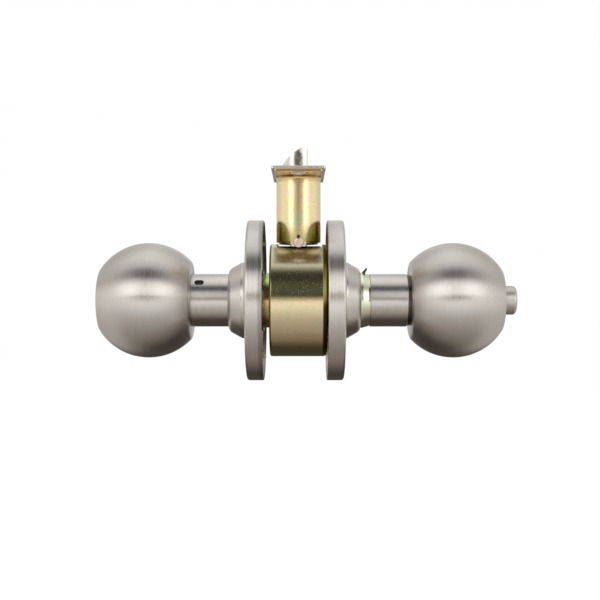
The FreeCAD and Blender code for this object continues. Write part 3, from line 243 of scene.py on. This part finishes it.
def axis_places(g, axis):
    """Position along a body's turning axis, distance from it and angle round it."""
    where = g.add("TexCoord").outputs["Object"]
    parts = g.split(where)
    along = parts["XYZ".index(axis)]
    first, second = [parts[i] for i in range(3) if "XYZ"[i] != axis]
    squares = g.math("ADD", g.math("MULTIPLY", first, first), g.math("MULTIPLY", second, second))
    return where, along, g.math("SQRT", squares), g.math("ARCTAN2", second, first)


def metal(name, colour, rough, stretch=0.0, axis="X"):
    """A bare metal. With stretch above 0 it is brushed round the axis."""
    material, g = new_graph(name)
    shader = g.add("BsdfPrincipled")
    g.finish(shader.outputs[0])
    shader.inputs["Metallic"].default_value = 1.0
    shader.inputs["Roughness"].default_value = rough
    shader.inputs["Base Color"].default_value = (*colour, 1)
    if stretch:
        shader.inputs["Anisotropic"].default_value = stretch
        shader.inputs["Anisotropic Rotation"].default_value = 0.25
        tangent = g.add("Tangent", direction_type="RADIAL", axis=axis)
        g.link(tangent.outputs[0], shader.inputs["Tangent"])
    return material, g, shader


def brushed(name, colour, rough, stretch, axis="X", line=0.00022, depth=0.000003, streak=0.055,
            shade=None, stakes=False):
    """Satin steel with fine brush lines round the axis, a little uneven in tone."""
    material, g, shader = metal(name, colour, rough, stretch, axis)
    where, along, reach, turn = axis_places(g, axis)
    lines = g.vector(
        g.math("DIVIDE", along, line), g.math("DIVIDE", reach, line), g.math("MULTIPLY", turn, 2.0),
    )
    fine = g.noise(lines, scale=1.0, detail=3.0, rough=0.6)
    broad = g.noise(where, scale=60.0, detail=3.0, rough=0.5)
    tone = g.blend(g.spread(fine, 0.3, 0.7), scaled(colour, 0.93), scaled(colour, 1.05))
    tone = g.blend(g.spread(broad, 0.35, 0.7, 0.0, 0.25), tone, scaled(colour, 0.86))
    # Painted shade: darkens the piece along the axis where it lies in a gap.
    if shade:
        inside = g.spread(along, shade.start, shade.full, 0.0, shade.dark)
        tone = g.blend(inside, tone, scaled(colour, 0.1))
    if stakes:
        beside = g.math("GREATER_THAN", g.math("ABSOLUTE", g.split(where)["X"]), STAKE_SIDE)
        under = g.math("LESS_THAN", along, STAKE_TOP)
        tone = g.blend(g.math("MULTIPLY", beside, under), tone, BROWN_TINT)
    g.put(shader.inputs["Base Color"], tone)
    g.put(shader.inputs["Roughness"], g.spread(fine, 0.25, 0.75, rough - streak, rough + streak))
    g.put(shader.inputs["Normal"], g.bump(fine, depth))
    return material


def plated(name, colour, rough, drift, speck=0.2, cloud=55.0, tints=DARK_TINTS, fades=()):
    """Chromate zinc plate: a clouded film that drifts to its tints, brown, green and pink, with fine
    specks and pits.
    Its fades paint colour over it by height, mostly painted light and shade."""
    material, g, shader = metal(name, colour, rough)
    where = g.add("TexCoord").outputs["Object"]
    height = g.split(where)["Z"]
    brown, green, pink = tints
    tinted = g.ramp(g.noise(where, cloud, detail=4.0, rough=0.55), [
        (0.0, brown), (0.36, green), (0.45, colour), (0.53, colour), (0.62, pink), (1.0, green),
    ])
    film = g.blend(drift, colour, tinted)
    dull = rough
    # Each fade paints its colour over the film by height, mostly painted light and shade bands.
    for fade in fades:
        taken = g.spread(height, fade.start, fade.full)
        film = g.blend(taken, film, fade.tint)
        dull = g.math("MULTIPLY_ADD", taken, fade.duller, dull)
    grain = g.noise(where, scale=1500.0, detail=2.0, rough=0.6)
    specks = g.spread(grain, 0.52, 0.68, 0.0, speck)
    pits = g.spread(g.noise(where, scale=2200.0, detail=2.0, rough=0.6), 0.625, 0.70, 0.0, 0.20)
    g.put(shader.inputs["Base Color"], g.blend(specks, film, scaled(colour, 0.45)))
    g.put(shader.inputs["Roughness"], g.math("ADD", pits, dull))
    g.put(shader.inputs["Normal"], g.bump(grain, distance=0.00003, strength=0.5))
    return material


def plain(name, colour, rough, uneven=0.12):
    """Machined or sprung steel and brass, with a slightly mottled surface."""
    material, g, shader = metal(name, colour, rough)
    where = g.add("TexCoord").outputs["Object"]
    mottle = g.noise(where, scale=180.0, detail=4.0, rough=0.6)
    mottled = g.blend(g.spread(mottle, 0.3, 0.7), scaled(colour, 1 - uneven), scaled(colour, 1 + uneven))
    g.put(shader.inputs["Base Color"], mottled)
    g.put(shader.inputs["Roughness"], g.spread(mottle, 0.3, 0.7, rough - 0.06, rough + 0.08))
    g.put(shader.inputs["Normal"], g.bump(g.noise(where, scale=900.0), distance=0.00001, strength=0.3))
    return material


def dress(material, *names):
    for name in names:
        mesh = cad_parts[name].data
        mesh.materials.clear()
        mesh.materials.append(material)


def dress_steel():
    """Satin knobs, button and roses. The necks are smoother, with painted shade where they enter a knob,
    and the outer rose has painted shade at its open rim edge.
    """
    dress(brushed("satin_knob", STEEL, rough=0.31, stretch=0.93), "outer_knob", "inner_knob")
    dress(brushed("satin_button", STEEL, rough=0.42, stretch=0.5), "push_button")
    # Painted shade where each neck enters its knob.
    for name, node, shade in (
        ("satin_neck", "outer_neck", Shade(start=-0.0499, full=-0.0506, dark=0.6)),
        ("inner_satin_neck", "inner_neck", Shade(start=0.0507, full=0.0511, dark=0.93)),
    ):
        dress(brushed(name, STEEL, rough=0.25, stretch=0.3, line=0.0004, depth=0.000001, streak=0.012,
                      shade=shade), node)
    dress(brushed("satin_rose", ROSE_STEEL, rough=0.29, stretch=0.88), "inner_rose")
    # Painted shade along the open edge of the outer rose's rim.
    dress(brushed("outer_satin_rose", ROSE_STEEL, rough=0.29, stretch=0.88,
                  shade=Shade(start=-0.0186, full=-0.0172, dark=0.4)), "outer_rose")
    dress(brushed("plate_steel", PLATE_NICKEL, rough=0.28, stretch=0.5, axis="Z", stakes=True),
          "latch_faceplate")


def dress_zinc():
    """Yellow chromate on the chassis, and a paler film on the latch and the collar, with painted light
    and shade bands by height on the drum, its cover and the tube.
    """
    # Drum: painted dark reflection band above the middle, painted lighter top and painted shade at the
    # foot.
    dress(plated("yellow_zinc", DRUM_ZINC, rough=0.14, drift=0.14, speck=0.2, fades=(
        Fade(DRUM_PAINTED_DARK_BAND, start=0.0008, full=0.0024), Fade(DRUM_PAINTED_TOP, start=0.0095, full=0.017, duller=0.07),
        Fade(DRUM_PAINTED_FOOT_SHADE, start=-0.018, full=-0.0245),
    )), "chassis_drum")
    # Cover: painted light band above the middle, painted shade on its top and below the middle.
    dress(plated("cover_zinc", COVER_ZINC, rough=0.34, drift=0.3, speck=0.1, fades=(
        Fade(COVER_PAINTED_LIGHT_BAND, start=-0.003, full=0.003), Fade(COVER_PAINTED_TOP_SHADE, start=0.0105, full=0.0185),
        Fade(COVER_PAINTED_FOOT_SHADE, start=0.0005, full=-0.004),
    )), "chassis_cover")
    dress(plated("hub_zinc", HUB_ZINC, rough=0.16, drift=0.25, speck=0.15, cloud=120.0, fades=(
        Fade(HUB_TOP, start=0.0, full=0.009),
    )), "outer_hub", "inner_hub")
    dress(plated("plate_zinc", MOUNT_ZINC, rough=0.20, drift=0.6, speck=0.15, cloud=120.0),
          "outer_mount_plate", "inner_mount_plate", "retractor_guides", "spring_seat")
    dress(plated("collar_zinc", COLLAR_ZINC, rough=0.22, drift=0.6, speck=0.1, cloud=110.0,
                 tints=PALE_TINTS), "inner_collar")
    # Tube: painted shadow under the face plate, and painted shade towards the foot by the drum.
    dress(plated("pale_zinc", TUBE_ZINC, rough=0.19, drift=1.0, speck=0.3, cloud=72.0, tints=PALE_TINTS,
                 fades=(
                     Fade(TUBE_PAINTED_PLATE_SHADOW, start=0.0545, full=0.0565),
                     Fade(TUBE_PAINTED_FOOT_SHADE, start=0.0375, full=0.0275, duller=0.14),
                 )), "latch_tube", "latch_end_cap")
    dress(plated("stud_zinc", STUD_ZINC, rough=0.28, drift=0.3, speck=0.1, cloud=300.0,
                 tints=PALE_TINTS), "latch_stud")


def dress_works():
    """Nickel bolt and screws, and the plain and sprung steel and the brass of the works."""
    dress(plain("nickel", BOLT_NICKEL, rough=0.14, uneven=0.06), "latch_bolt", "mounting_screws")
    dress(plain("steel", PLAIN_STEEL, rough=0.32), "outer_spindle", "inner_spindle", "outer_cam",
          "inner_cam", "retractor", "bolt_tail", "tailpiece", "locking_bar", "button_bushing")
    dress(plain("catch_steel", CATCH_STEEL, rough=0.4), "outer_catch", "inner_catch")
    dress(plain("spring_steel", DARK_STEEL, rough=0.30), "rose_clip", "outer_catch_spring",
          "inner_catch_spring", "retractor_springs", "bolt_spring", "button_spring", "pin_springs",
          "plug_clip")
    dress(plain("brass", BRASS, rough=0.28), "cylinder_shell", "key_plug", "key_pins", "driver_pins",
          "bible_cover")


def press(name):
    """Gives the coil spring its own copy of its mesh."""
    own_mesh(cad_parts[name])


def studio_world():
    """White round the camera's view. Metal sees a studio: a lamp on each side with a dark gap between
    them where the camera stands, one lamp above, and a table that fades to brown below."""
    world = bpy.data.worlds.new("studio")
    bpy.context.scene.world = world
    world.use_nodes = True
    g = Graph(world.node_tree)
    x, y, z = g.split(g.add("TexCoord").outputs["Generated"])
    tilt = g.math("ARCTAN2", z, g.math("MULTIPLY", y, -1.0))
    place = g.math("MULTIPLY_ADD", tilt, 1 / (2 * math.pi), 0.5)

    def by_height(levels):
        return g.ramp(place, [
            (0.5 + angle / 360, level if isinstance(level, tuple) else (level,) * 3)
            for angle, level in levels
        ])

    across = g.math("ABSOLUTE", x)
    beside_gap = g.spread(g.math("DIVIDE", across, by_height(GAP_WIDTH)), *GAP_EDGE)
    heart = g.math("MULTIPLY_ADD", by_height(LAMP_BAND), g.spread(across, *LAMP_HEART), 1.0)
    lit_sides = g.blend(1.0, by_height(SIDES), g.vector(heart, heart, heart), "MULTIPLY")
    near = g.blend(beside_gap, by_height(MIDDLE), lit_sides)
    far_from = g.spread(y, *FAR_START)
    far = g.spread(across, far_from, g.math("ADD", far_from, FAR_BLEND))
    upwards = g.spread(g.math("ABSOLUTE", z), *FAR_UPWARDS)
    level = g.math("MULTIPLY", upwards, g.spread(y, *FAR_BACKWARDS))
    walls = g.vector(level, g.math("MULTIPLY", level, FAR_GREEN), g.math("MULTIPLY", level, FAR_BLUE))

    studio = g.add("Background")
    g.put(studio.inputs["Color"], g.blend(far, near, walls))
    matt_light = g.add("Background")
    matt_light.inputs["Strength"].default_value = MATT_LIGHT
    white = g.add("Background")
    for background in (white, matt_light):
        background.inputs["Color"].default_value = (1, 1, 1, 1)
    path = g.add("LightPath")
    on_object = g.add("MixShader")
    g.link(path.outputs["Is Glossy Ray"], on_object.inputs[0])
    g.link(matt_light.outputs[0], on_object.inputs[1])
    g.link(studio.outputs[0], on_object.inputs[2])
    seen = g.add("MixShader")
    straight = path.outputs["Is Camera Ray"], path.outputs["Is Transmission Ray"]
    g.put(seen.inputs[0], g.math("ADD", *straight, clamp=True))
    g.link(on_object.outputs[0], seen.inputs[1])
    g.link(white.outputs[0], seen.inputs[2])
    g.finish(seen.outputs[0], "OutputWorld")


def floor():
    """Pale floor well below the lock, which is held by its chassis."""
    bpy.ops.mesh.primitive_plane_add(size=FLOOR_SIZE, location=(0, 0, FLOOR_HEIGHT))
    plane = bpy.context.object
    plane.name = "floor"
    material, g = new_graph("floor_paper")
    paper = g.add("BsdfDiffuse")
    paper.inputs["Color"].default_value = (FLOOR_GREY, FLOOR_GREY, FLOOR_GREY, 1)
    glow = g.add("Emission")
    path = g.add("LightPath")
    g.link(path.outputs["Is Camera Ray"], glow.inputs["Strength"])
    both = g.add("AddShader")
    g.link(paper.outputs[0], both.inputs[0])
    g.link(glow.outputs[0], both.inputs[1])
    g.finish(both.outputs[0])
    plane.data.materials.append(material)
    plane.visible_glossy = False


def dark_card():
    """Glowing dark card under the lock that only its metal sees, a painted reflection of the shade
    beneath the lock, so that the undersides near the roses stay dark.
    """
    bpy.ops.mesh.primitive_plane_add(size=1, location=CARD_PLACE)
    card = bpy.context.object
    card.name = "dark_card"
    card.scale = CARD_SIZE
    material, g = new_graph("dark_card")
    glow = g.add("Emission")
    level = g.spread(g.split(g.add("NewGeometry").outputs["Position"])["Y"], *CARD_GLOW)
    brown = g.vector(level, g.math("MULTIPLY", level, CARD_GREEN), g.math("MULTIPLY", level, CARD_BLUE))
    g.put(glow.inputs["Color"], brown)
    g.finish(glow.outputs[0])
    card.data.materials.append(material)
    card.visible_camera = False
    card.visible_diffuse = False
    card.visible_shadow = False
    card.visible_transmission = False


def lamp(name, place, size, watts):
    data = bpy.data.lights.new(name, "AREA")
    data.shape = "RECTANGLE"
    data.size, data.size_y = size
    data.energy = watts
    thing = bpy.data.objects.new(name, data)
    bpy.context.scene.collection.objects.link(thing)
    thing.location = place
    thing.rotation_euler = (-Vector(place)).to_track_quat("-Z", "Y").to_euler()
    thing.visible_glossy = False


def camera():
    """Level view along +Y, 496 mm from the knob axis."""
    data = bpy.data.cameras.new("camera")
    data.sensor_width = CAMERA_SENSOR
    data.lens = CAMERA_LENS
    thing = bpy.data.objects.new("camera", data)
    bpy.context.scene.collection.objects.link(thing)
    thing.location = CAMERA_PLACE
    thing.rotation_euler = (math.radians(90), 0, 0)
    bpy.context.scene.camera = thing


dress_steel()
dress_zinc()
dress_works()
press("retractor_springs")
press("bolt_spring")
press("button_spring")
studio_world()
floor()
dark_card()
for lamp_values in LAMPS:
    lamp(*lamp_values)
camera()

bpy.context.scene.view_settings.view_transform = "Standard"
